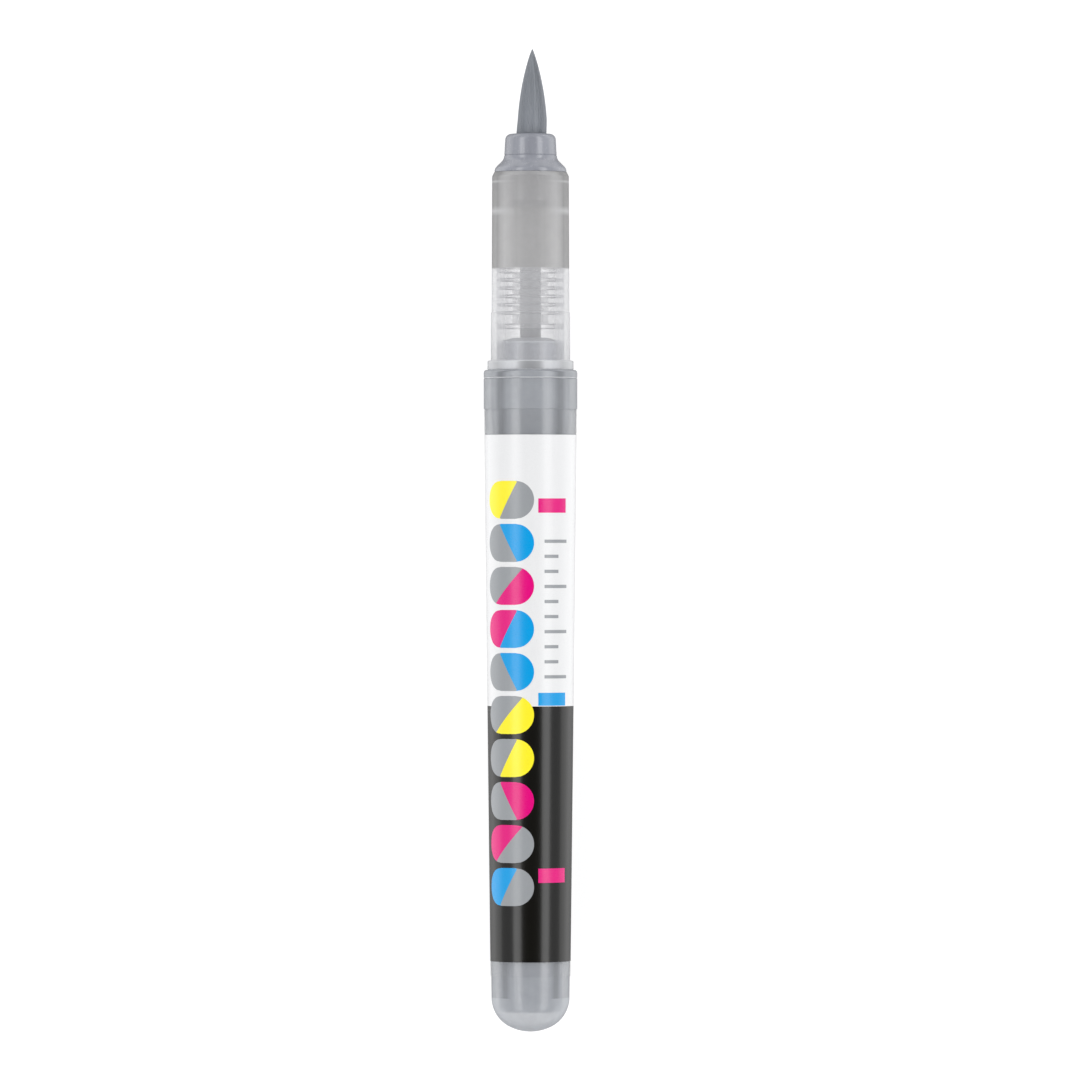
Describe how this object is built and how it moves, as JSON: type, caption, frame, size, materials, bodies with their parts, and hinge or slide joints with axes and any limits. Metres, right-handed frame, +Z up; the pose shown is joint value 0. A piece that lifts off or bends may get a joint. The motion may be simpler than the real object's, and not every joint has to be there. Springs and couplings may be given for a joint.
{
  "type": "brush marker",
  "caption": "Uncapped brush marker: tapered barrel with a printed film, clear section showing the ink feed, nose and a flexible pointed brush.",
  "frame": {"origin": "on the surface that the collar rests on, straight below the pen's axis at the middle of its length", "axes": "+Y along the pen towards the brush, +Z up, +X across the pen"},
  "size_m": [0.0131, 0.1376, 0.0131],
  "materials": {
    "barrel_plastic": "translucent grey, satin gloss",
    "printed_film": null,
    "reservoir_plastic": "translucent, stained by ink",
    "ball_steel": "polished",
    "plug_plastic": "soft, matt",
    "feed_fibre": "bonded fibre, wet with ink",
    "collector_plastic": "clear, moulded",
    "clear_plastic": "clear, polished",
    "nose_plastic": "translucent grey, glossy",
    "ferrule_plastic": "moulded",
    "brush_fibre": "fine nylon fibres, wet with grey ink"
  },
  "bodies": {
    "pen": {"outer_barrel": "barrel_plastic", "label_sleeve": "printed_film", "front_ring": "barrel_plastic", "ink_reservoir": "reservoir_plastic", "reservoir_plug": "plug_plastic", "feed_rod": "feed_fibre", "collector": "collector_plastic", "section_shell": "clear_plastic", "nose_cone": "nose_plastic", "brush_ferrule": "ferrule_plastic", "brush_root": "brush_fibre"},
    "brush": {"brush_tip": "brush_fibre"},
    "ball": {"mixing_ball": "ball_steel"}
  },
  "joints": [
    {"name": "brush_flex", "type": "hinge", "parent": "pen", "child": "brush", "pos_m": [0, 0.05765, 0.00655], "axis": [0, 0, 1], "range_deg": [-25, 25], "stiffness_Nm_per_rad": 0.0015},
    {"name": "ball_roll", "type": "slide", "parent": "pen", "child": "ball", "axis": [0, 1, 0], "range_m": [-0.033, 0.046]}
  ]
}
